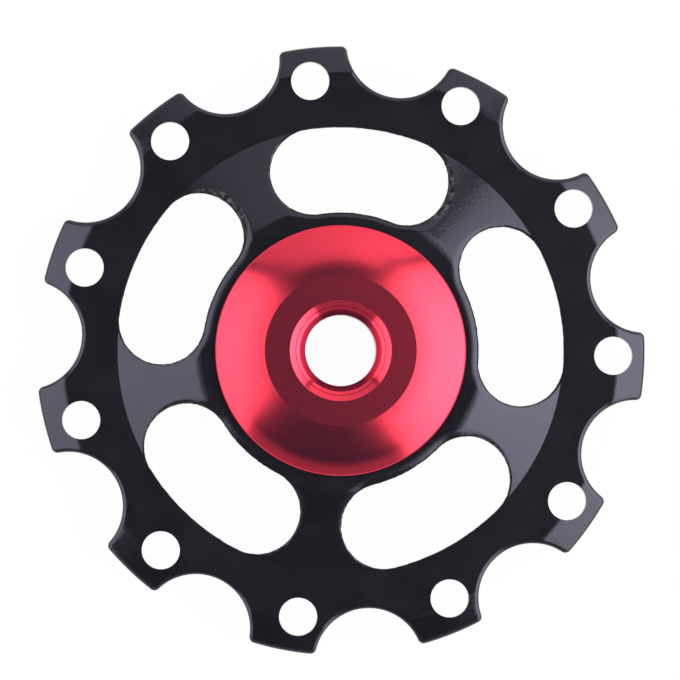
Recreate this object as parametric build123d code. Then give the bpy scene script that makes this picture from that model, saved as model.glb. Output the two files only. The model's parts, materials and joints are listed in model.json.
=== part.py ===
from build123d import *
from math import asin, degrees, radians, sin
import os

# Derailleur jockey wheel: a toothed wheel on a sealed ball bearing, held between two turned caps.
# Millimetres and degrees. The axle is the Z axis, the teeth are centred on Z = 0, and one tooth points to +Y.

# Teeth
tooth_count = 11
chain_pitch = 12.7
roller_seat_radius = 3.9
tip_below_pitch_line = 0.58
tip_corner_radius = 0.45
tooth_thickness = 2.1
tip_thickness = 1.0
tip_bevel_reach = 1.9
tooth_hole_diameter = 2.75
tooth_hole_above_root = 0.86
tooth_hole_index_angle = 1.67
tooth_hole_offset_x = -0.07
tooth_hole_offset_y = -0.17

# Rim, spokes and hub of the wheel
rim_depth = 2.6
slot_count = 5
spoke_width = 3.0
slot_into_rim = 0.1
slot_into_collar = 0.48
slot_index_angle = 1.2
hub_wall = 2.4
seat_lip_thickness = 0.35
seat_lip_height = 0.5
seat_mouth_chamfer = 0.2

# Ball bearing
bearing_bore = 8.0
bearing_outside_diameter = 16.0
bearing_width = 5.0
ring_corner = 0.2
ball_count = 9
ball_diameter = 2.381
groove_radius = 1.24
groove_depth = 0.25
cage_web = 0.35
cage_finger_height = 0.6
seal_thickness = 0.5
seal_inset = 0.1
seal_bead_height = 0.1
seal_bead_thickness = 0.25
outer_ring_seal_wall = 0.65
inner_ring_seal_wall = 0.85

# Caps
axle_bore = 5.1
cap_overlap = 1.0
cap_face_diameter = 10.9
cap_cone_height = 0.7
cap_rim_thickness = 0.4
cap_rim_chamfer = 0.55
cap_rim_chamfer_depth = 0.3
cap_shoulder_height = 0.7
mouth_chamfer = 0.4
mouth_chamfer_depth = 0.3
mouth_land = 0.1
throat_chamfer = 0.27
throat_chamfer_depth = 0.2
lead_in_length = 0.4
lead_in_height = 0.4
spigot_chamfer = 0.2

# Fits and running clearances
press_fit_clearance = 0.01
ball_clearance = 0.01
pocket_clearance = 0.06
cage_clearance = 0.35
seal_clearance = 0.05
cap_running_gap = 0.25
spigot_gap = 0.1

# Sizes that follow from the ones above
pitch_radius = chain_pitch / (2 * sin(radians(180 / tooth_count)))
root_radius = pitch_radius - roller_seat_radius
tip_radius = pitch_radius - tip_below_pitch_line
tooth_hole_circle = root_radius + tooth_hole_above_root
rim_inner_radius = root_radius - rim_depth

bearing_radius = bearing_outside_diameter / 2
half_bearing = bearing_width / 2
half_hub = half_bearing + seat_lip_thickness
collar_radius = bearing_radius + hub_wall

slot_outer_radius = rim_inner_radius + slot_into_rim
slot_inner_radius = collar_radius - slot_into_collar
slot_width = slot_outer_radius - slot_inner_radius
slot_circle = (slot_outer_radius + slot_inner_radius) / 2
spoke_angle = 2 * degrees(asin((spoke_width + slot_width) / (2 * slot_circle)))
slot_sweep = 360 / slot_count - spoke_angle

ball_radius = ball_diameter / 2
ball_circle = (bearing_bore + bearing_outside_diameter) / 4
inner_race_radius = ball_circle - ball_radius - ball_clearance
outer_race_radius = ball_circle + ball_radius + ball_clearance
inner_land_radius = inner_race_radius + groove_depth
outer_land_radius = outer_race_radius - groove_depth
seal_face = half_bearing - seal_inset
seal_back = seal_face - seal_thickness
seal_outer_radius = bearing_radius - outer_ring_seal_wall
seal_inner_radius = bearing_bore / 2 + inner_ring_seal_wall

cap_radius = bearing_radius + cap_overlap
cap_underside = half_hub + cap_running_gap
cap_rim_top = cap_underside + cap_rim_thickness
cap_face = cap_rim_top + cap_cone_height


def turned(points):
    """The solid of revolution about Z of a closed profile of (radius, height) points."""
    return revolve(make_face(Plane.XZ * Polyline(*points, close=True)), Axis.Z)


def flipped(points):
    """The same profile on the other side of the mid plane."""
    return [(radius, -height) for radius, height in reversed(points)]


def wheel_blank():
    """The turned wheel before milling: bearing seat with its lip, collar, cone, flat rim and tip bevel."""
    seat_radius = bearing_radius + press_fit_clearance
    lip_radius = bearing_radius - seat_lip_height
    half_rim = tooth_thickness / 2
    outside = [
        (collar_radius, half_hub),
        (rim_inner_radius, half_rim),
        (tip_radius - tip_bevel_reach, half_rim),
        (tip_radius, tip_thickness / 2),
    ]
    seat = [
        (lip_radius, -half_hub),
        (lip_radius, -half_bearing),
        (seat_radius, -half_bearing),
        (seat_radius, half_hub - seat_mouth_chamfer),
        (seat_radius + seat_mouth_chamfer, half_hub),
    ]
    return turned(outside + flipped(outside) + seat)


def tooth_outline():
    """The teeth that round roller seats on the pitch circle leave, with rounded tip corners."""
    half_step = 180 / tooth_count
    seats = PolarLocations(pitch_radius, tooth_count, start_angle=90 + half_step)
    outline = Circle(tip_radius) - [seat * Circle(roller_seat_radius) for seat in seats]
    return fillet(outline.vertices(), tip_corner_radius)


def tooth_holes():
    """The drilled hole in each tooth. Their circle is turned a little and lies a little off the axle."""
    centre = Pos(tooth_hole_offset_x, tooth_hole_offset_y)
    places = PolarLocations(tooth_hole_circle, tooth_count, start_angle=90 + tooth_hole_index_angle)
    return [centre * place * Circle(tooth_hole_diameter / 2) for place in places]


def spoke_slots():
    """Kidney slots with full round ends, which leave the spokes between them."""
    first = 90 + slot_index_angle - slot_sweep / 2
    step = 360 / slot_count
    starts = [first + step * number for number in range(slot_count)]
    arcs = [CenterArc((0, 0), slot_circle, start, slot_sweep) for start in starts]
    return [SlotArc(arc, slot_width) for arc in arcs]


def toothed_wheel():
    """The wheel, milled right through from the turned blank."""
    plan = tooth_outline() - tooth_holes() - spoke_slots()
    return wheel_blank() & extrude(plan, half_hub, both=True)


def cap_profile():
    """Half section of a cap: stepped mouth, flat ring, cone, chamfered rim, shoulder and spigot."""
    bore_radius = axle_bore / 2
    throat_radius = bore_radius + lead_in_height
    land_radius = throat_radius + throat_chamfer
    land_top = cap_face - mouth_chamfer_depth
    land_bottom = land_top - mouth_land
    throat_top = land_bottom - throat_chamfer_depth
    shoulder_radius = bearing_bore / 2 + cap_shoulder_height
    spigot_radius = bearing_bore / 2 - press_fit_clearance
    spigot_end = spigot_gap / 2
    return [
        (bore_radius, spigot_end),
        (bore_radius, throat_top - lead_in_length),
        (throat_radius, throat_top),
        (land_radius, land_bottom),
        (land_radius, land_top),
        (land_radius + mouth_chamfer, cap_face),
        (cap_face_diameter / 2, cap_face),
        (cap_radius - cap_rim_chamfer, cap_rim_top),
        (cap_radius, cap_rim_top - cap_rim_chamfer_depth),
        (cap_radius, cap_underside),
        (shoulder_radius, cap_underside),
        (shoulder_radius, half_bearing),
        (spigot_radius, half_bearing),
        (spigot_radius, spigot_end + spigot_chamfer),
        (spigot_radius - spigot_chamfer, spigot_end),
    ]


def inner_ring():
    """The bearing's inner ring, with the ball groove and a step for each seal's lip."""
    bore_radius = bearing_bore / 2
    half_section = [
        (bore_radius, half_bearing - ring_corner),
        (bore_radius + ring_corner, half_bearing),
        (seal_inner_radius, half_bearing),
        (seal_inner_radius, seal_back),
        (inner_land_radius, seal_back),
    ]
    groove = Torus(inner_race_radius + groove_radius, groove_radius)
    return turned(half_section + flipped(half_section)) - groove


def outer_ring():
    """The bearing's outer ring, with the ball groove and an undercut that holds each seal's bead."""
    bead_radius = seal_outer_radius + seal_bead_height
    bead_face = seal_back + seal_bead_thickness
    half_section = [
        (outer_land_radius, seal_back),
        (bead_radius, seal_back),
        (bead_radius, bead_face),
        (seal_outer_radius, bead_face),
        (seal_outer_radius, half_bearing),
        (bearing_radius - ring_corner, half_bearing),
        (bearing_radius, half_bearing - ring_corner),
    ]
    groove = Torus(outer_race_radius - groove_radius, groove_radius)
    return turned(half_section + flipped(half_section)) - groove


def seal_profile():
    """Half section of a rubber seal: a washer with a bead in the outer ring and a lip by the inner ring."""
    lip_radius = seal_inner_radius + seal_clearance
    edge_radius = seal_outer_radius - seal_clearance
    bead_radius = edge_radius + seal_bead_height
    back = seal_back + seal_clearance
    bead_face = seal_back + seal_bead_thickness - seal_clearance
    return [
        (lip_radius, back),
        (bead_radius, back),
        (bead_radius, bead_face),
        (edge_radius, bead_face),
        (edge_radius, seal_face),
        (lip_radius, seal_face),
    ]


def ball_places():
    """One place for each ball, around the ball circle."""
    return PolarLocations(ball_circle, ball_count, start_angle=90)


def crown_cage():
    """The moulded crown cage: a ring whose round pockets open to the front and snap over the balls."""
    pocket_radius = ball_radius + pocket_clearance
    inner_radius = inner_land_radius + cage_clearance
    outer_radius = outer_land_radius - cage_clearance
    back = -pocket_radius - cage_web
    ring = turned([
        (inner_radius, back),
        (outer_radius, back),
        (outer_radius, cage_finger_height),
        (inner_radius, cage_finger_height),
    ])
    pocket = Rot(0, 90, 0) * Cylinder(pocket_radius, outer_radius)
    return ring - [place * pocket for place in ball_places()]


def main():
    nodes = {
        "toothed_wheel": toothed_wheel(),
        "front_cap": turned(cap_profile()),
        "rear_cap": turned(flipped(cap_profile())),
        "bearing_inner_ring": inner_ring(),
        "bearing_outer_ring": outer_ring(),
        "bearing_seal_front": turned(seal_profile()),
        "bearing_seal_rear": turned(flipped(seal_profile())),
        "bearing_cage": crown_cage(),
    }
    for number, place in enumerate(ball_places(), start=1):
        nodes[f"ball_{number}"] = place * Sphere(ball_radius)
    os.makedirs("parts", exist_ok=True)
    for name, solid in nodes.items():
        export_step(solid, f"parts/{name}.step")


main()
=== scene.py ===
import json
import math

import bmesh
import bpy
from mathutils import Matrix, Vector

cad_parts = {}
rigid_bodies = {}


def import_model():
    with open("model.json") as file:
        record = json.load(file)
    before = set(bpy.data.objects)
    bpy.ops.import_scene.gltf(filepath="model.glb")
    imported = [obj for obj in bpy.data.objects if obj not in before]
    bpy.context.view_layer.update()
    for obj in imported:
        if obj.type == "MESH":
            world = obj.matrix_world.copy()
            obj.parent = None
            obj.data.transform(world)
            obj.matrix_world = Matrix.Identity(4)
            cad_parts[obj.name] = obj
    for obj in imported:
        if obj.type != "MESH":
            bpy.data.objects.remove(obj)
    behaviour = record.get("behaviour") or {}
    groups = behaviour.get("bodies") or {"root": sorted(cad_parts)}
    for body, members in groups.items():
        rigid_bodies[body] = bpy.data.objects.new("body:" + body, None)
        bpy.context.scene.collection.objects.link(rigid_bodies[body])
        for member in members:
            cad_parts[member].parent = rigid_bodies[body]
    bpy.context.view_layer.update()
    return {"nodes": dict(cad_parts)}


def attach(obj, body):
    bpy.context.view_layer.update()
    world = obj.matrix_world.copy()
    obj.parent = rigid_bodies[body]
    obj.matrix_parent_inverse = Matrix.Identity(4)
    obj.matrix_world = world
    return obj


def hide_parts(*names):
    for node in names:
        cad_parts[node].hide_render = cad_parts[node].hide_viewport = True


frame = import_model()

# Derailleur jockey wheel: black wheel, red caps and a sealed bearing, lying on its rear cap.
# Sizes are millimetres and angles degrees, counted anticlockwise from +X and seen from the front.
mm = 0.001

# Teeth
tooth_count = 11
chain_pitch = 12.7
roller_seat_radius = 3.9
tip_below_pitch_line = 0.58
tip_corner_radius = 0.45
half_tooth = 1.05
half_tip = 0.5
tip_bevel_reach = 1.9
tip_bevel_round = 0.2
tooth_edge_round = 0.28
tooth_hole_radius = 1.375
tooth_hole_above_root = 0.86
tooth_hole_angle = 91.67
tooth_hole_offset = Vector((-0.07, -0.17, 0))
polish = 0.001

# Rim, spokes and hub
rim_depth = 2.6
slot_count = 5
spoke_width = 3.0
slot_into_rim = 0.1
slot_into_collar = 0.48
slot_angle = 91.2
half_hub = 2.85
collar_radius = 10.4
collar_edge_round = 0.4

# Edges of the slots: a small break, and a soft round that fades between two radii
slot_edge_break = 0.1
slot_edge_drop = 0.2
slot_edge_round = 0.6
slot_edge_slope = 20
slot_round_fades = (10.6, 16.0)
milling_wobble = 0.025

# Ledges at the clockwise ends of two slots, which are counted anticlockwise from the first
rough_slots = (3, 4)
slot_end_out = 0.22
slot_end_in = 0.2
slot_end_drop = 0.8

# Bearing seat in the hub
seat_radius = 8.01
seat_mouth_chamfer = 0.2
lip_radius = 7.5
lip_thickness = 0.35

# Caps
cap_face = 4.2
cap_face_radius = 5.45
cap_face_fall = 0.015
cap_crown = 0.027
cap_crown_edge = (7.5, 3.84)
cap_shoulder_round = 5.0
cap_shoulder_slope = 30
cap_rim_break = 0.08
cap_rim_break_slope = 43
cap_rim_round = 0.12
cap_underside = 3.1
cap_line_radius = 4.45
cap_line_width = 0.04
cap_line_depth = 0.001
cap_mouth_radius = 3.62
cap_land_radius = 3.22
cap_land_top = 3.9
cap_land_bottom = 3.8
cap_throat_radius = 2.95
cap_throat_top = 3.6
cap_bore_radius = 2.55
cap_bore_top = 3.22
cap_shoulder_radius = 4.7
cap_shoulder_face = 2.5
cap_spigot_radius = 3.99
cap_spigot_end = 0.05
cap_spigot_chamfer = 0.2
cap_broken_edge = 0.03
cap_sharp_angle = 30

# Places that follow from the sizes above
pitch_radius = chain_pitch / (2 * math.sin(math.radians(180 / tooth_count)))
root_radius = pitch_radius - roller_seat_radius
tip_radius = pitch_radius - tip_below_pitch_line - polish
tip_bevel_radius = tip_radius - tip_bevel_reach
rim_inner_radius = root_radius - rim_depth
slot_outer_radius = rim_inner_radius + slot_into_rim
slot_inner_radius = collar_radius - slot_into_collar
slot_circle = (slot_outer_radius + slot_inner_radius) / 2
slot_width = slot_outer_radius - slot_inner_radius
spoke_angle = 2 * math.degrees(math.asin((spoke_width + slot_width) / (2 * slot_circle)))
slot_step = 360 / slot_count
slot_sweep = slot_step - spoke_angle
slot_start = slot_angle - slot_sweep / 2
slot_end = slot_angle + slot_sweep / 2
hub_ring_radius = seat_radius + seat_mouth_chamfer

# Fineness of the meshes
tooth_edge_turn = 10
tip_steps = 8
tip_corner_steps = 10
roller_seat_steps = 56
tooth_hole_sides = 96
slot_edge_rings = 6
slot_side_steps = 30
slot_end_steps = 48
circle_sides = 360
circle_depth = 4
rounded_edge_shares = (-1, -0.5, 0, 0.5, 1)
cone_steps = 8
bevel_steps = 4
slope_lines = 120
first_slope_line = 0.4
hub_steps = 180
cap_steps = 256
cap_crown_steps = 20
cap_shoulder_steps = 16
cap_rim_steps = 10
ground_sides = 96

# Limits that tell points and faces apart
same_outline_point = 0.002
same_point = 0.0005
plan_level = 1e-4
hair = 0.01
margin = 0.1
upright_face = 0.05
level_face = 0.9998
wheel_crease_angle = 13
cap_crease_angle = 5

# Where the finishes change, from the sides of the slots and beside a circle on the caps
wall_finish_ends = (0.2, 0.4)
chips_from_collar = (0.4, 1.2)
chips_from_rim = (0.3, 0.8)
finish_edge = 0.02

# Photograph and studio
photo_width = 680
photo_scale = 13.89
photo_turn = 136.13
sensor_width = 36
camera_distance = 600
camera_aim = (-0.027, 0.77)
camera_stand = (-6.3, -3.9)
camera_near = 0.01
panel_softness = 2.0
room_light = 0.053
ground_radius = 3.0
ground_wall = 0.36
ground_glow_share = 0.97


# Modelling helpers

def around(radius, degrees, height=0.0):
    """The point at that radius and angle round the axle."""
    angle = math.radians(degrees)
    return Vector((radius * math.cos(angle), radius * math.sin(angle), height))


def out_from_axle(point):
    """The point's distance from the axle."""
    return math.hypot(point.x, point.y)


def middle_of(edge):
    """The point halfway along an edge."""
    return (edge.verts[0].co + edge.verts[1].co) / 2


def start_piece(name):
    """A new empty mesh piece, open in edit mode."""
    bpy.ops.object.select_all(action="DESELECT")
    bpy.ops.mesh.primitive_plane_add(size=1)
    piece = bpy.context.object
    piece.name = name
    piece.data.name = name
    bpy.ops.object.mode_set(mode="EDIT")
    bpy.ops.mesh.delete(type="VERT")
    return piece


def start_line(point):
    """One new vertex at the point, selected alone."""
    bpy.ops.mesh.select_mode(type="VERT")
    bpy.ops.mesh.select_all(action="DESELECT")
    bpy.ops.mesh.primitive_plane_add(size=1)
    bpy.ops.mesh.merge(type="CENTER")
    bpy.ops.transform.translate(value=point)


def arc(centre, degrees, steps):
    """Draws on from what is selected, anticlockwise round the centre."""
    bpy.ops.mesh.spin(steps=steps, angle=math.radians(degrees), center=centre, axis=(0, 0, -1))


def repeat_around(count):
    """Copies what is selected to the other places round the axle."""
    step = 360 / count
    bpy.ops.mesh.spin(
        steps=count - 1, angle=math.radians(360 - step), center=(0, 0, 0), axis=(0, 0, -1), dupli=True
    )


def draw_section(points):
    """Starts a section beside the axle and draws it through these (radius, height) points."""
    start_line((points[0][0], 0, points[0][1]))
    draw_on(points[0], points[1:])


def draw_on(here, points):
    """Draws the section on from the point it has reached."""
    for there in points:
        step = (there[0] - here[0], 0, there[1] - here[1])
        bpy.ops.mesh.extrude_vertices_move(TRANSFORM_OT_translate={"value": step})
        here = there


def round_on(centre, degrees, steps):
    """Draws the section on in an arc that turns from up to outwards."""
    bpy.ops.mesh.spin(
        steps=steps, angle=math.radians(degrees), center=(centre[0], 0, centre[1]), axis=(0, -1, 0)
    )


def spin_section(steps):
    """Turns the drawn section once round the axle."""
    bpy.ops.mesh.select_linked()
    bpy.ops.mesh.spin(steps=steps, angle=math.radians(360), center=(0, 0, 0), axis=(0, 0, -1))


def select_only(piece, kind, wanted):
    """Selects the faces, edges or vertices that the test wants, and counts them."""
    bpy.ops.mesh.select_all(action="DESELECT")
    mode = {"faces": "FACE", "edges": "EDGE", "verts": "VERT"}[kind]
    bpy.ops.mesh.select_mode(type=mode)
    shape = bmesh.from_edit_mesh(piece.data)
    found = [part for part in getattr(shape, kind) if not part.hide and wanted(part)]
    for part in found:
        part.select = True
    shape.select_flush_mode()
    bmesh.update_edit_mesh(piece.data)
    return len(found)


def merge_all(distance):
    """Merges all points that lie this near each other."""
    bpy.ops.mesh.select_all(action="SELECT")
    bpy.ops.mesh.remove_doubles(threshold=distance)


def apply_modifier(piece, kind, **settings):
    """Adds a modifier with these settings and applies it."""
    modifier = piece.modifiers.new(kind.lower(), kind)
    for setting, value in settings.items():
        setattr(modifier, setting, value)
    bpy.ops.object.select_all(action="DESELECT")
    bpy.context.view_layer.objects.active = piece
    piece.select_set(True)
    bpy.ops.object.modifier_apply(modifier=modifier.name)


def finish_piece(piece, crease_angle):
    """Closes the mesh, brings it from millimetres to its real size and smooths its shading."""
    merge_all(same_point)
    bpy.ops.mesh.normals_make_consistent(inside=False)
    bpy.ops.transform.resize(value=(mm, mm, mm), center_override=(0, 0, 0))
    bpy.ops.object.mode_set(mode="OBJECT")
    bpy.ops.object.select_all(action="DESELECT")
    piece.select_set(True)
    bpy.ops.object.shade_smooth_by_angle(angle=math.radians(crease_angle))
    bpy.ops.object.mode_set(mode="EDIT")
    select_only(piece, "faces", lambda face: abs(face.normal.z) > level_face)
    bpy.ops.mesh.faces_shade_flat()
    bpy.ops.object.mode_set(mode="OBJECT")


# Toothed wheel

def draw_edge(inner, steps):
    """Starts the section of an edge and draws it on in steps, each sideways and up."""
    start_line(inner)
    for sideways, upwards in steps:
        step = sideways + Vector((0, 0, upwards))
        bpy.ops.mesh.extrude_vertices_move(TRANSFORM_OT_translate={"value": step})
    bpy.ops.mesh.select_linked()


def angle_between(side, other_side, facing_side):
    """The angle between two sides of a triangle, by the lengths of its three sides."""
    return math.degrees(math.acos((side**2 + other_side**2 - facing_side**2) / (2 * side * other_side)))


def rounded_tooth_edge():
    """The steps of the round edge at the tip that points to +Y."""
    turns = [math.radians(turn) for turn in range(0, 90 + tooth_edge_turn, tooth_edge_turn)]
    steps = []
    for low, high in zip(turns, turns[1:]):
        inwards = tooth_edge_round * (math.cos(low) - math.cos(high))
        upwards = tooth_edge_round * (math.sin(high) - math.sin(low))
        steps.append((around(-inwards, 90), upwards))
    return steps


def draw_teeth():
    """The outside: a round edge swept along tip, corner, roller seat, corner and tip, eleven times."""
    half_step = 180 / tooth_count
    corner_reach = tip_radius - tip_corner_radius
    seat_reach = roller_seat_radius + tip_corner_radius
    from_axle = angle_between(pitch_radius, corner_reach, seat_reach)
    from_seat = angle_between(pitch_radius, seat_reach, corner_reach)
    half_tip_angle = half_step - from_axle
    corner_sweep = from_axle + from_seat
    seat = around(pitch_radius, 90 + half_step)
    draw_edge(around(tip_radius, 90, -tooth_edge_round), rounded_tooth_edge())
    arc((0, 0, 0), half_tip_angle, tip_steps)
    arc(around(corner_reach, 90 + half_tip_angle), corner_sweep, tip_corner_steps)
    arc(seat, -2 * from_seat, roller_seat_steps)
    arc(around(corner_reach, 90 + 2 * half_step - half_tip_angle), corner_sweep, tip_corner_steps)
    arc((0, 0, 0), half_tip_angle, tip_steps)
    bpy.ops.mesh.select_linked()
    repeat_around(tooth_count)
    merge_all(same_outline_point)


def draw_slots(piece):
    """The five kidney slots, each with a strip round it for its broken and rounded edge."""
    steps = [(around(-slot_edge_break, slot_start), slot_edge_drop)]
    for ring in range(slot_edge_rings):
        steps.append((around((slot_edge_break - slot_edge_round) / slot_edge_rings, slot_start), 0.0))
    draw_edge(around(slot_inner_radius, slot_start, -slot_edge_drop), steps)
    arc((0, 0, 0), slot_sweep, slot_side_steps)
    arc(around(slot_circle, slot_end), -180, slot_end_steps)
    arc((0, 0, 0), -slot_sweep, slot_side_steps)
    arc(around(slot_circle, slot_start), -180, slot_end_steps)
    bpy.ops.mesh.select_linked()
    repeat_around(slot_count)
    merge_all(same_outline_point)
    select_only(piece, "verts", lambda vertex: (
        out_from_axle(vertex.co) < slot_outer_radius + margin and vertex.co.z < -slot_edge_drop / 2
    ))
    bpy.ops.transform.vertex_random(offset=milling_wobble, seed=slot_count)
    bpy.ops.transform.resize(value=(1, 1, 0), center_override=(0, 0, -slot_edge_drop))


def roughen_slot_ends(piece):
    """Leaves a steep ledge at one end of two slots, where the cuts from the two sides do not line up."""
    shape = bmesh.from_edit_mesh(piece.data)
    for number in rough_slots:
        bearing = slot_start + slot_step * number
        end = around(slot_circle, bearing)
        outwards = around(1, bearing - 90)
        for vertex in shape.verts:
            away = Vector((vertex.co.x, vertex.co.y, 0)) - end
            if away.length > slot_width / 2 + slot_edge_round + milling_wobble:
                continue
            facing = max(0, away.normalized().dot(outwards))
            if vertex.co.z > -slot_edge_drop / 2:
                vertex.co += outwards * slot_end_out * facing
            else:
                vertex.co -= outwards * slot_end_in * facing
                vertex.co.z -= slot_end_drop * facing
    bmesh.update_edit_mesh(piece.data)


def draw_tooth_holes():
    """The eleven drilled holes in the teeth, on a circle that lies a little off the axle."""
    bpy.ops.mesh.select_all(action="DESELECT")
    hole_circle = root_radius + tooth_hole_above_root
    for number in range(tooth_count):
        hole = around(hole_circle, tooth_hole_angle + 360 / tooth_count * number) + tooth_hole_offset
        bpy.ops.mesh.primitive_circle_add(vertices=tooth_hole_sides, radius=tooth_hole_radius, location=hole)


def draw_hub_ring():
    """The ring where the collar's flat face meets the mouth of the bearing seat."""
    bpy.ops.mesh.select_all(action="DESELECT")
    bpy.ops.mesh.primitive_circle_add(vertices=hub_steps, radius=hub_ring_radius)


def fill_plan(piece):
    """Fills the flat plan between its outlines, with faces that look up."""
    select_only(piece, "edges", lambda edge: (
        (edge.is_boundary or edge.is_wire) and all(abs(vertex.co.z) < plan_level for vertex in edge.verts)
    ))
    bpy.ops.mesh.fill(use_beauty=True)
    if select_only(piece, "faces", lambda face: face.normal.z < 0):
        bpy.ops.mesh.flip_normals()


def slot_rounding(point):
    """How far the nearest slot's edge is rounded down at a point: by the collar and spokes, not the rim."""
    bearing = math.degrees(math.atan2(point.y, point.x)) - slot_angle
    bearing -= slot_step * round(bearing / slot_step)
    along = max(-slot_sweep / 2, min(slot_sweep / 2, bearing))
    radius = out_from_axle(point)
    across = (around(radius, bearing) - around(slot_circle, along)).length - slot_width / 2
    fade = (slot_round_fades[1] - radius) / (slot_round_fades[1] - slot_round_fades[0])
    if fade <= 0:
        return 0.0
    reach = slot_edge_round * min(1, fade)
    share = max(0, min(1, 1 - across / reach))
    steepest = math.sin(math.radians(slot_edge_slope))
    turn = math.asin(steepest * share)
    return reach / steepest * (1 - math.cos(turn))


def fall_past_edge(past, slope, edge_round):
    """How far a flat face has fallen past an edge that is rounded this far to both sides."""
    if past < -edge_round:
        return 0.0
    if past < edge_round:
        return slope * (past + edge_round) ** 2 / (4 * edge_round)
    return slope * past


def turned_height(radius):
    """Height of the turned wheel's front at that radius: collar, cone, rim and tip bevel."""
    cone_slope = (half_hub - half_tooth) / (rim_inner_radius - collar_radius)
    bevel_slope = (half_tooth - half_tip) / tip_bevel_reach
    if radius < rim_inner_radius:
        return half_hub - fall_past_edge(radius - collar_radius, cone_slope, collar_edge_round)
    return half_tooth - fall_past_edge(radius - tip_bevel_radius, bevel_slope, tip_bevel_round)


def cut_circles(piece):
    """Cuts the plan along the circles where the turned face changes, and between them on the slopes."""
    cone_start = collar_radius + collar_edge_round
    cone_reach = rim_inner_radius - cone_start
    circles = [slot_inner_radius - slot_edge_round - margin]
    circles += [collar_radius + collar_edge_round * share for share in rounded_edge_shares]
    circles += [tip_bevel_radius + tip_bevel_round * share for share in rounded_edge_shares]
    circles += [cone_start + cone_reach * step / cone_steps for step in range(1, cone_steps + 1)]
    circles += [tip_bevel_radius + tip_bevel_reach * step / bevel_steps for step in range(1, bevel_steps)]
    for radius in circles:
        bpy.ops.mesh.primitive_cylinder_add(
            vertices=circle_sides, radius=radius, depth=circle_depth, end_fill_type="NOTHING"
        )
    select_only(piece, "faces", lambda face: abs(face.normal.z) < upright_face)
    bpy.ops.mesh.intersect(mode="SELECT_UNSELECT", separate_mode="NONE", solver="EXACT")
    select_only(piece, "faces", lambda face: abs(face.normal.z) < upright_face)
    bpy.ops.mesh.delete(type="FACE")


def on_slope(face):
    """Whether a face of the plan lies on the collar's edge, a spoke or a tooth tip."""
    reaches = [out_from_axle(vertex.co) for vertex in face.verts]
    past_collar = max(reaches) > slot_inner_radius - slot_edge_round
    before_rim = min(reaches) < rim_inner_radius - hair
    on_tip = min(reaches) > tip_bevel_radius - tip_bevel_round - hair
    return past_collar and before_rim or on_tip


def cut_slopes(piece):
    """Cuts the sloping parts, the spokes and tooth tips, along lines out from the axle."""
    select_only(piece, "faces", on_slope)
    bpy.ops.mesh.hide(unselected=True)
    for line in range(slope_lines):
        bpy.ops.mesh.select_all(action="SELECT")
        across = around(1, 180 * line / slope_lines + first_slope_line)
        bpy.ops.mesh.bisect(plane_co=(0, 0, 0), plane_no=across)
    bpy.ops.mesh.reveal(select=False)


def raise_to_turned_face(piece):
    """Lifts the flat plan to the height that the lathe left at each radius, less the slots' rounding."""
    shape = bmesh.from_edit_mesh(piece.data)
    for vertex in shape.verts:
        vertex.co.z += turned_height(out_from_axle(vertex.co)) - slot_rounding(vertex.co)
    bmesh.update_edit_mesh(piece.data)


def drop_walls(piece):
    """Draws the milled walls straight down from the outlines to the middle plane."""
    select_only(piece, "edges", lambda edge: (
        edge.is_boundary and out_from_axle(middle_of(edge)) > hub_ring_radius + margin
    ))
    bpy.ops.mesh.extrude_edges_move()
    bpy.ops.transform.resize(value=(1, 1, 0), center_override=(0, 0, 0))


def turn_bearing_seat():
    """The hub's inside: mouth chamfer, bearing seat and the rear lip that stops the bearing."""
    section = [
        (hub_ring_radius, half_hub),
        (seat_radius, half_hub - seat_mouth_chamfer),
        (seat_radius, lip_thickness - half_hub),
        (lip_radius, lip_thickness - half_hub),
        (lip_radius, -half_hub),
        (hub_ring_radius, -half_hub),
    ]
    seat = start_piece("bearing_seat")
    draw_section(section)
    spin_section(hub_steps)
    bpy.ops.object.mode_set(mode="OBJECT")
    return seat


def mark_upright(piece):
    """Notes on the mesh how much each face corner looks up or down, for the finish of the slot walls."""
    marks = piece.data.attributes.new("looks_up", "FLOAT", "CORNER")
    for mark, normal in zip(marks.data, piece.data.corner_normals):
        mark.value = abs(normal.vector.z)


def make_wheel():
    """The toothed wheel: milled plan with broken edges, raised to the turned face and mirrored."""
    wheel = start_piece("black_toothed_wheel")
    draw_teeth()
    draw_slots(wheel)
    roughen_slot_ends(wheel)
    draw_tooth_holes()
    draw_hub_ring()
    fill_plan(wheel)
    cut_circles(wheel)
    cut_slopes(wheel)
    raise_to_turned_face(wheel)
    drop_walls(wheel)
    bpy.ops.object.mode_set(mode="OBJECT")
    apply_modifier(wheel, "MIRROR", use_axis=(False, False, True), merge_threshold=same_point)
    turn_bearing_seat().select_set(True)
    wheel.select_set(True)
    bpy.context.view_layer.objects.active = wheel
    bpy.ops.object.join()
    bpy.ops.object.mode_set(mode="EDIT")
    finish_piece(wheel, wheel_crease_angle)
    mark_upright(wheel)
    return wheel


# Caps

def square_under(point, slope, depth):
    """The (radius, height) point that far under a slope, square to it."""
    angle = math.radians(slope)
    return (point[0] - depth * math.sin(angle), point[1] - depth * math.cos(angle))


def ring_height(radius):
    """Height of the cap's ring at that radius: it falls a little from the mouth to the cone."""
    return cap_face - cap_face_fall * (radius - cap_mouth_radius) / (cap_face_radius - cap_mouth_radius)


def cap_mouth():
    """The section's points from the bore through the stepped mouth and over the ring with its fine line."""
    line_start = cap_line_radius - cap_line_width / 2
    line_end = cap_line_radius + cap_line_width / 2
    return [
        (cap_bore_radius, cap_spigot_end),
        (cap_bore_radius, cap_bore_top),
        (cap_throat_radius, cap_throat_top),
        (cap_land_radius, cap_land_bottom),
        (cap_land_radius, cap_land_top),
        (cap_mouth_radius, cap_face),
        (line_start, ring_height(line_start)),
        (cap_line_radius, ring_height(cap_line_radius) - cap_line_depth),
        (line_end, ring_height(line_end)),
        (cap_face_radius, ring_height(cap_face_radius)),
    ]


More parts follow.
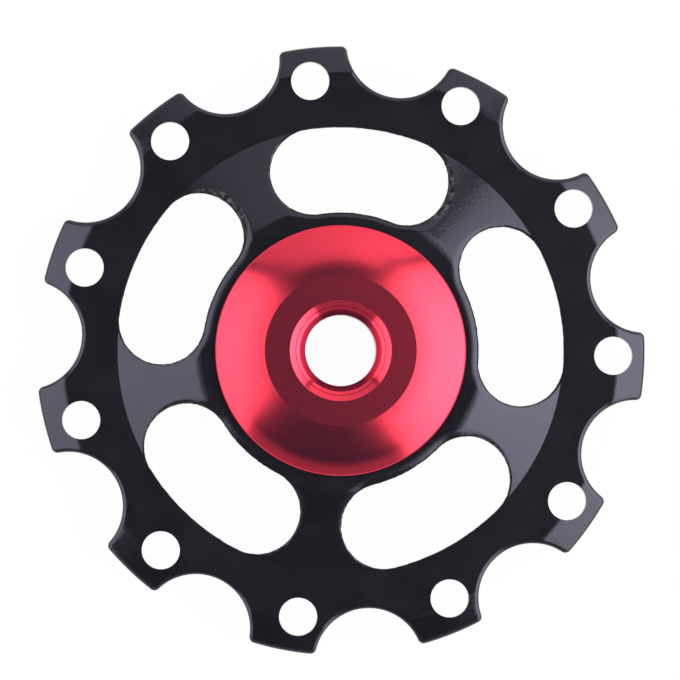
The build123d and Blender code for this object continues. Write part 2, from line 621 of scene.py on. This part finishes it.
def cap_underneath(rim_radius):
    """The section's points from the rim down under the cap and round the spigot, back to the bore."""
    return [
        (rim_radius, cap_underside),
        (cap_shoulder_radius, cap_underside),
        (cap_shoulder_radius, cap_shoulder_face),
        (cap_spigot_radius, cap_shoulder_face),
        (cap_spigot_radius, cap_spigot_end + cap_spigot_chamfer),
        (cap_spigot_radius - cap_spigot_chamfer, cap_spigot_end),
        (cap_bore_radius, cap_spigot_end),
    ]


def draw_cap_section():
    """The cap's half section: mouth, ring, crowned cone, long shoulder, broken and round rim, underside."""
    face_edge = (cap_face_radius, ring_height(cap_face_radius))
    run = cap_crown_edge[0] - face_edge[0]
    drop = face_edge[1] - cap_crown_edge[1]
    chord = math.hypot(run, drop)
    half_turn = 2 * math.degrees(math.atan(2 * cap_crown / chord))
    crown_radius = chord / (2 * math.sin(math.radians(half_turn)))
    crown_slope = math.degrees(math.atan2(drop, run)) - half_turn
    shoulder_slope = crown_slope + 2 * half_turn
    crown_centre = square_under(face_edge, crown_slope, crown_radius)
    shoulder_centre = square_under(cap_crown_edge, shoulder_slope, cap_shoulder_round)
    shoulder_edge = square_under(shoulder_centre, cap_shoulder_slope, -cap_shoulder_round)
    break_angle = math.radians(cap_rim_break_slope)
    rim_edge = (
        shoulder_edge[0] + cap_rim_break * math.cos(break_angle),
        shoulder_edge[1] - cap_rim_break * math.sin(break_angle),
    )
    rim_centre = square_under(rim_edge, cap_rim_break_slope, cap_rim_round)
    rim = (rim_centre[0] + cap_rim_round, rim_centre[1])
    draw_section(cap_mouth())
    round_on(crown_centre, 2 * half_turn, cap_crown_steps)
    round_on(shoulder_centre, cap_shoulder_slope - shoulder_slope, cap_shoulder_steps)
    draw_on(shoulder_edge, [rim_edge])
    round_on(rim_centre, 90 - cap_rim_break_slope, cap_rim_steps)
    draw_on(rim, cap_underneath(rim[0]))


def break_cap_edges():
    """Breaks the cap's sharp edges a little."""
    bpy.ops.mesh.select_mode(type="EDGE")
    bpy.ops.mesh.select_all(action="DESELECT")
    bpy.ops.mesh.edges_select_sharp(sharpness=math.radians(cap_sharp_angle))
    bpy.ops.mesh.bevel(offset=cap_broken_edge, segments=3, clamp_overlap=True)


def make_front_cap():
    """The cap that faces the camera, turned from its half section."""
    cap = start_piece("red_front_cap")
    draw_cap_section()
    spin_section(cap_steps)
    merge_all(same_point)
    bpy.ops.mesh.normals_make_consistent(inside=False)
    break_cap_edges()
    finish_piece(cap, cap_crease_angle)
    return cap


def turn_over(piece, name):
    """A copy of a piece for the other side of the wheel, with a mesh of its own."""
    bpy.ops.object.select_all(action="DESELECT")
    bpy.context.view_layer.objects.active = piece
    piece.select_set(True)
    bpy.ops.object.duplicate()
    copy = bpy.context.object
    copy.name = name
    copy.data.name = name
    bpy.ops.object.mode_set(mode="EDIT")
    bpy.ops.mesh.select_all(action="SELECT")
    bpy.ops.transform.rotate(
        value=math.radians(180), orient_axis="X", center_override=(0, 0, 0)
    )
    bpy.ops.object.mode_set(mode="OBJECT")
    return copy


# Finishes

def new_finish(name, constants):
    """A material with these constant sockets on its shader."""
    finish = bpy.data.materials.new(name)
    finish.use_nodes = True
    shader = finish.node_tree.nodes["Principled BSDF"]
    for socket, value in constants.items():
        shader.inputs[socket].default_value = value
    return finish, shader


def give_finish(piece, finish):
    """The piece wears this finish alone."""
    piece.data.materials.clear()
    piece.data.materials.append(finish)


def add_node(finish, kind, **settings):
    """A node in the finish, with its settings."""
    node = finish.node_tree.nodes.new(kind)
    for setting, value in settings.items():
        setattr(node, setting, value)
    return node


def link(finish, start, end):
    """Joins an output to an input."""
    finish.node_tree.links.new(start, end)


def place_on_piece(finish):
    """The point on the piece, in millimetres from the middle of the wheel."""
    where = add_node(finish, "ShaderNodeTexCoord")
    scaled = add_node(finish, "ShaderNodeMapping")
    scaled.inputs["Scale"].default_value = (1 / mm, 1 / mm, 1 / mm)
    link(finish, where.outputs["Object"], scaled.inputs["Vector"])
    return scaled.outputs["Vector"]


def speckle(finish, place, size, detail=3.0):
    """Noise with grains of about this size in millimetres."""
    noise = add_node(finish, "ShaderNodeTexNoise")
    noise.inputs["Scale"].default_value = 1 / size
    noise.inputs["Detail"].default_value = detail
    link(finish, place, noise.inputs["Vector"])
    return noise.outputs["Fac"]


def measure(finish, operation, *terms):
    """A node that works out one number from links and plain numbers."""
    node = add_node(finish, "ShaderNodeMath", operation=operation)
    for socket, term in zip(node.inputs, terms):
        if isinstance(term, (int, float)):
            socket.default_value = term
        else:
            link(finish, term, socket)
    return node.outputs["Value"]


def soft_step(finish, amount, start, end):
    """Rises softly from 0 to 1 between two amounts."""
    rise = add_node(finish, "ShaderNodeMapRange", interpolation_type="SMOOTHSTEP")
    rise.inputs["From Min"].default_value = start
    rise.inputs["From Max"].default_value = end
    link(finish, amount, rise.inputs["Value"])
    return rise.outputs["Result"]


def stretch(finish, place, shares):
    """The place with each direction multiplied by its share."""
    stretched = add_node(finish, "ShaderNodeVectorMath", operation="MULTIPLY")
    stretched.inputs[1].default_value = shares
    link(finish, place, stretched.inputs[0])
    return stretched.outputs["Vector"]


def reach_from_axle(finish, place):
    """The place's distance from the axle in millimetres."""
    reach = add_node(finish, "ShaderNodeVectorMath", operation="LENGTH")
    link(finish, stretch(finish, place, shares=(1, 1, 0)), reach.inputs[0])
    return reach.outputs["Value"]


def within(finish, place, radius):
    """1 where the place is nearer the axle than this radius, and 0 farther out."""
    reach = reach_from_axle(finish, place)
    return soft_step(finish, reach, start=radius + finish_edge, end=radius - finish_edge)


def turned_lines(finish, place, spacing, detail=2.0):
    """Fine uneven rings round the axle, as a lathe tool leaves, about this far apart in millimetres."""
    rings = add_node(finish, "ShaderNodeTexNoise", noise_dimensions="1D")
    rings.inputs["Scale"].default_value = 1 / spacing
    rings.inputs["Detail"].default_value = detail
    link(finish, reach_from_axle(finish, place), rings.inputs["W"])
    return rings.outputs["Fac"]


def slot_walls(finish, place, flat, steep):
    """1 by the slots where the surface is as steep as asked, 0 where it is flat and outside the slots."""
    marks = add_node(finish, "ShaderNodeAttribute", attribute_name="looks_up")
    upright = soft_step(finish, marks.outputs["Fac"], start=flat, end=steep)
    reach = reach_from_axle(finish, place)
    ends = [slot_outer_radius + past for past in wall_finish_ends]
    near = soft_step(finish, reach, start=ends[1], end=ends[0])
    return measure(finish, "MULTIPLY", upright, near)


def blend_colours(finish, share, under, over):
    """The colour under, with the plain colour over it by that share."""
    share_input, under_input, over_input, colour_output = 0, 6, 7, 2
    blend = add_node(finish, "ShaderNodeMix", data_type="RGBA")
    blend.inputs[over_input].default_value = (*over, 1)
    link(finish, share, blend.inputs[share_input])
    if isinstance(under, tuple):
        blend.inputs[under_input].default_value = (*under, 1)
    else:
        link(finish, under, blend.inputs[under_input])
    return blend.outputs[colour_output]


def vary(finish, amount, low, high):
    """Maps a noise onto a range of values."""
    spread = add_node(finish, "ShaderNodeMapRange")
    spread.inputs["From Min"].default_value = 0.3
    spread.inputs["From Max"].default_value = 0.7
    spread.inputs["To Min"].default_value = low
    spread.inputs["To Max"].default_value = high
    link(finish, amount, spread.inputs["Value"])
    return spread.outputs["Result"]


def tint(finish, amount, dark, light):
    """Maps a noise onto a range of colours."""
    ramp = add_node(finish, "ShaderNodeValToRGB")
    ramp.color_ramp.elements[0].position = 0.35
    ramp.color_ramp.elements[1].position = 0.65
    ramp.color_ramp.elements[0].color = (*dark, 1)
    ramp.color_ramp.elements[1].color = (*light, 1)
    link(finish, amount, ramp.inputs["Fac"])
    return ramp.outputs["Color"]


def relief(finish, shader, amount, height):
    """Raises the surface by a noise, up to this height in millimetres."""
    bump = add_node(finish, "ShaderNodeBump")
    bump.inputs["Strength"].default_value = 1.0
    bump.inputs["Distance"].default_value = height * mm
    link(finish, amount, bump.inputs["Height"])
    link(finish, bump.outputs["Normal"], shader.inputs["Normal"])


def chipped_edges(finish, place, chatter, walls):
    """Where the finish is chipped: in spots on the steep edges of the slots, by the spokes."""
    reach = reach_from_axle(finish, place)
    collar_side = [slot_inner_radius + past for past in chips_from_collar]
    rim_side = [slot_outer_radius - before for before in chips_from_rim]
    off_collar = soft_step(finish, reach, start=collar_side[0], end=collar_side[1])
    off_rim = soft_step(finish, reach, start=rim_side[0], end=rim_side[1])
    by_spoke = measure(finish, "MULTIPLY", off_collar, off_rim)
    not_upright = slot_walls(finish, place, flat=0.1, steep=0.25)
    broken_edge = measure(finish, "MULTIPLY", walls, not_upright)
    worn = measure(finish, "MULTIPLY", by_spoke, broken_edge)
    spots = soft_step(finish, chatter, start=0.35, end=0.75)
    return measure(finish, "MULTIPLY", spots, worn)


def black_anodised():
    """Gloss black anodising on the wheel with a faint grain, and rough, chipped milling on the slot walls,
    whose reflection is dimmed to dark grey as painted shade.
    """
    chip_colour = (0.1, 0.1, 0.115)
    face_shine = (0.78, 0.77, 1.0)
    # The slot walls' reflection tint is dark grey: painted shade in the slots.
    painted_shade_wall_shine = (0.12, 0.12, 0.14)
    wall_roughness = 0.75
    milling_over_grain = 11.0
    finish, shader = new_finish("black_anodised_gloss", {"IOR": 1.55})
    place = place_on_piece(finish)
    grain = speckle(finish, place, size=0.2)
    cloud = speckle(finish, place, size=2.5)
    chatter = speckle(finish, stretch(finish, place, shares=(1, 1, 0.4)), size=0.35)
    walls = slot_walls(finish, place, flat=0.8, steep=0.6)
    worked = slot_walls(finish, place, flat=0.94, steep=0.75)
    chips = chipped_edges(finish, place, chatter, walls)
    skin = tint(finish, cloud, dark=(0.0052, 0.005, 0.0072), light=(0.0078, 0.0074, 0.0102))
    link(finish, blend_colours(finish, chips, skin, chip_colour), shader.inputs["Base Color"])
    # Painted shade: the reflection on the slot walls is dimmed by the dark tint, while their roughness is
    # their own.
    link(finish, blend_colours(finish, walls, face_shine, painted_shade_wall_shine), shader.inputs["Specular Tint"])
    gloss = vary(finish, grain, low=0.11, high=0.14)
    link(finish, measure(finish, "MULTIPLY_ADD", walls, wall_roughness, gloss), shader.inputs["Roughness"])
    milling = measure(finish, "MULTIPLY", chatter, worked)
    surface = measure(finish, "MULTIPLY_ADD", milling, milling_over_grain, grain)
    relief(finish, shader, surface, height=0.0045)
    return finish


def red_anodised():
    """Red anodising over turned aluminium: bright, faintly ringed round the axle, with painted shade that
    darkens it in the bore.
    """
    # Darker red for the bore: painted shade.
    painted_bore_shade = (0.4, 0.042, 0.085)
    deeper_on_ring = 9.0
    finish, shader = new_finish("red_anodised_turned", {
        "Metallic": 1.0, "Coat Weight": 0.9, "Coat IOR": 1.2, "Coat Roughness": 0.7,
        "Sheen Weight": 0.015, "Sheen Roughness": 1.0, "Sheen Tint": (0.05, 0.0, 1.0, 1),
    })
    place = place_on_piece(finish)
    rings = turned_lines(finish, place, spacing=0.12)
    # Mask of the bore, where the red is darkened as painted shade.
    painted_shade_in_bore = within(finish, place, cap_throat_radius)
    skin = tint(finish, rings, dark=(0.79, 0.041, 0.07), light=(0.81, 0.043, 0.073))
    link(finish, blend_colours(finish, painted_shade_in_bore, skin, painted_bore_shade), shader.inputs["Base Color"])
    link(finish, vary(finish, rings, low=0.14, high=0.16), shader.inputs["Roughness"])
    on_ring = within(finish, place, cap_face_radius)
    depth = measure(finish, "MULTIPLY_ADD", on_ring, deeper_on_ring, 1.0)
    relief(finish, shader, measure(finish, "MULTIPLY", depth, rings), height=0.0001)
    return finish


def bearing_steel():
    """Ground bearing steel."""
    finish, shader = new_finish("bearing_steel_ground", {"Metallic": 1.0})
    rings = turned_lines(finish, place_on_piece(finish), spacing=0.08)
    skin = tint(finish, rings, dark=(0.52, 0.52, 0.53), light=(0.64, 0.64, 0.66))
    link(finish, skin, shader.inputs["Base Color"])
    link(finish, vary(finish, rings, low=0.18, high=0.28), shader.inputs["Roughness"])
    relief(finish, shader, rings, height=0.0005)
    return finish


def seal_rubber():
    """Black moulded rubber of the bearing seals."""
    finish, shader = new_finish("seal_rubber_moulded", {"Metallic": 0.0})
    grain = speckle(finish, place_on_piece(finish), size=0.2)
    skin = tint(finish, grain, dark=(0.018, 0.018, 0.019), light=(0.03, 0.03, 0.031))
    link(finish, skin, shader.inputs["Base Color"])
    link(finish, vary(finish, grain, low=0.5, high=0.65), shader.inputs["Roughness"])
    relief(finish, shader, grain, height=0.004)
    return finish


def cage_nylon():
    """Natural moulded nylon of the ball cage."""
    finish, shader = new_finish("cage_nylon_moulded", {"Metallic": 0.0})
    grain = speckle(finish, place_on_piece(finish), size=0.4)
    skin = tint(finish, grain, dark=(0.7, 0.68, 0.6), light=(0.78, 0.76, 0.69))
    link(finish, skin, shader.inputs["Base Color"])
    link(finish, vary(finish, grain, low=0.38, high=0.5), shader.inputs["Roughness"])
    relief(finish, shader, grain, height=0.003)
    return finish


def dress_bearing():
    """The bearing keeps its CAD pieces, in steel, rubber and nylon."""
    steel = bearing_steel()
    finishes = {"bearing_seal": seal_rubber(), "bearing_cage": cage_nylon(), "bearing": steel, "ball": steel}
    for name, node in frame["nodes"].items():
        for start, finish in finishes.items():
            if name.startswith(start):
                give_finish(node, finish)
                break


# Studio

def white_ground():
    """Plain white that shows as the photograph's white ground and keeps a soft shadow."""
    finish, shader = new_finish("white_ground", {"Roughness": 0.9, "Base Color": (0.85, 0.85, 0.85, 1)})
    rays = add_node(finish, "ShaderNodeLightPath")
    seen = measure(finish, "MAXIMUM", rays.outputs["Is Camera Ray"], rays.outputs["Is Glossy Ray"])
    shown = measure(finish, "MAXIMUM", seen, rays.outputs["Is Transmission Ray"])
    share = measure(finish, "MULTIPLY", shown, ground_glow_share)
    glow = add_node(finish, "ShaderNodeEmission")
    glow.inputs["Strength"].default_value = 1.0
    mixed = add_node(finish, "ShaderNodeMixShader")
    link(finish, share, mixed.inputs["Fac"])
    link(finish, shader.outputs["BSDF"], mixed.inputs[1])
    link(finish, glow.outputs["Emission"], mixed.inputs[2])
    link(finish, mixed.outputs["Shader"], finish.node_tree.nodes["Material Output"].inputs["Surface"])
    return finish


def lay_ground():
    """A wide white floor under the rear cap, turned up into a low wall all round."""
    bpy.ops.object.select_all(action="DESELECT")
    bpy.ops.mesh.primitive_circle_add(
        vertices=ground_sides, radius=ground_radius, fill_type="NGON", location=(0, 0, -cap_face * mm)
    )
    ground = bpy.context.object
    ground.name = "ground"
    bpy.ops.object.mode_set(mode="EDIT")
    bpy.ops.mesh.select_all(action="SELECT")
    bpy.ops.mesh.region_to_loop()
    bpy.ops.mesh.extrude_edges_move(TRANSFORM_OT_translate={"value": (0, 0, ground_wall)})
    bpy.ops.object.mode_set(mode="OBJECT")
    give_finish(ground, white_ground())


def light_panel(
    room, centre, half_width, start, end, strength, spread=0.0, twist=0.0, falloff=0.0, tilt=0.0
):
    """The light of one soft panel, by the direction that it is seen in.

    Its middle is at an angle in the photograph. Its sides run out from a point that is spread off the
    vertical, and turn by the twist on the way. It starts softly between two angles from the vertical, and
    its light falls off to both sides and tilts to one.
    """
    where = add_node(room, "ShaderNodeTexCoord")
    turned = add_node(room, "ShaderNodeMapping")
    turned.inputs["Rotation"].default_value = (0, 0, math.radians(photo_turn - centre))
    link(room, where.outputs["Generated"], turned.inputs["Vector"])
    parts = add_node(room, "ShaderNodeSeparateXYZ")
    link(room, turned.outputs["Vector"], parts.inputs["Vector"])
    ahead = measure(room, "MULTIPLY_ADD", parts.outputs["Z"], -spread, parts.outputs["X"])
    off_vertical = measure(room, "ARCCOSINE", parts.outputs["Z"])
    straight = measure(room, "ARCTAN2", parts.outputs["Y"], ahead)
    sideways = measure(room, "MULTIPLY_ADD", off_vertical, -twist, straight)
    edge = math.radians(half_width)
    softness = math.radians(panel_softness)
    aside = measure(room, "ABSOLUTE", sideways)
    inside = soft_step(room, aside, start=edge + softness, end=edge - softness)
    begun = soft_step(room, off_vertical, start=math.radians(start), end=math.radians(end))
    slope = measure(room, "MULTIPLY_ADD", sideways, -falloff, -tilt)
    level = measure(room, "MULTIPLY_ADD", slope, sideways, 1.0)
    shown = measure(room, "MULTIPLY", inside, begun)
    lit = measure(room, "MULTIPLY", shown, level)
    return measure(room, "MULTIPLY", lit, strength)


def light_spot(room, bearing, off_vertical, reach, strength):
    """The light of a soft round glow at an angle in the photograph, that far off the vertical and so wide."""
    where = add_node(room, "ShaderNodeTexCoord")
    lean = math.radians(off_vertical)
    towards = add_node(room, "ShaderNodeVectorMath", operation="DOT_PRODUCT")
    towards.inputs[1].default_value = around(math.sin(lean), bearing - photo_turn, math.cos(lean))
    link(room, where.outputs["Generated"], towards.inputs[0])
    away = measure(room, "ARCCOSINE", towards.outputs["Value"])
    lit = soft_step(room, away, start=math.radians(reach), end=0.0)
    return measure(room, "MULTIPLY", lit, strength)


def light_studio():
    """A dim room with soft panels to the photograph's right, left and top, and a low glow at its bottom."""
    room = bpy.data.worlds.new("grey_room")
    room.use_nodes = True
    right = light_panel(
        room, centre=0.6, half_width=49.5, start=2.0, end=25.5, strength=4.3,
        spread=-0.05, twist=-0.1, falloff=0.7,
    )
    left = light_panel(
        room, centre=172.2, half_width=40.8, start=2.0, end=25.5, strength=2.7, twist=0.13, falloff=0.6
    )
    top = light_panel(
        room, centre=92, half_width=46, start=18.6, end=21.6, strength=1.0, spread=0.165, tilt=0.4
    )
    bottom = light_panel(room, centre=262, half_width=46, start=34, end=54, strength=0.34)
    overhead = light_spot(room, bearing=45, off_vertical=3.0, reach=4.5, strength=0.09)
    sides = measure(room, "ADD", right, left)
    ends = measure(room, "ADD", top, bottom)
    panels = measure(room, "ADD", sides, ends)
    dim = measure(room, "ADD", overhead, room_light)
    everything = measure(room, "ADD", panels, dim)
    backdrop = room.node_tree.nodes["Background"]
    backdrop.inputs["Color"].default_value = (1, 1, 1, 1)
    link(room, everything, backdrop.inputs["Strength"])
    bpy.context.scene.world = room


def set_camera():
    """The camera above the wheel, nearly straight and turned as the photograph is."""
    turn = math.radians(-photo_turn)
    right = Vector((math.cos(turn), math.sin(turn), 0))
    up = Vector((-math.sin(turn), math.cos(turn), 0))
    aim = (right * camera_aim[0] + up * camera_aim[1]) * mm + Vector((0, 0, half_tooth * mm))
    stand = (right * camera_stand[0] + up * camera_stand[1]) * mm
    stand += Vector((0, 0, (camera_distance + half_tooth) * mm))
    back = (stand - aim).normalized()
    side = up.cross(back).normalized()
    over = back.cross(side)
    camera_data = bpy.data.cameras.new("camera")
    camera = bpy.data.objects.new("camera", camera_data)
    bpy.context.scene.collection.objects.link(camera)
    camera.location = stand
    camera.rotation_mode = "QUATERNION"
    camera.rotation_quaternion = Matrix((side, over, back)).transposed().to_quaternion()
    camera_data.sensor_width = sensor_width
    camera_data.lens = sensor_width * photo_scale * camera_distance / photo_width
    camera_data.clip_start = camera_near
    bpy.context.scene.camera = camera


wheel = make_wheel()
front_cap = make_front_cap()
rear_cap = turn_over(front_cap, "red_rear_cap")

black = black_anodised()
red = red_anodised()
give_finish(wheel, black)
give_finish(front_cap, red)
give_finish(rear_cap, red)
dress_bearing()

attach(wheel, "wheel")
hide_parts("toothed_wheel")
for cap, node in ((front_cap, "front_cap"), (rear_cap, "rear_cap")):
    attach(cap, "hub")
    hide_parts(node)

lay_ground()
light_studio()
set_camera()
bpy.context.scene.view_settings.view_transform = "Standard"
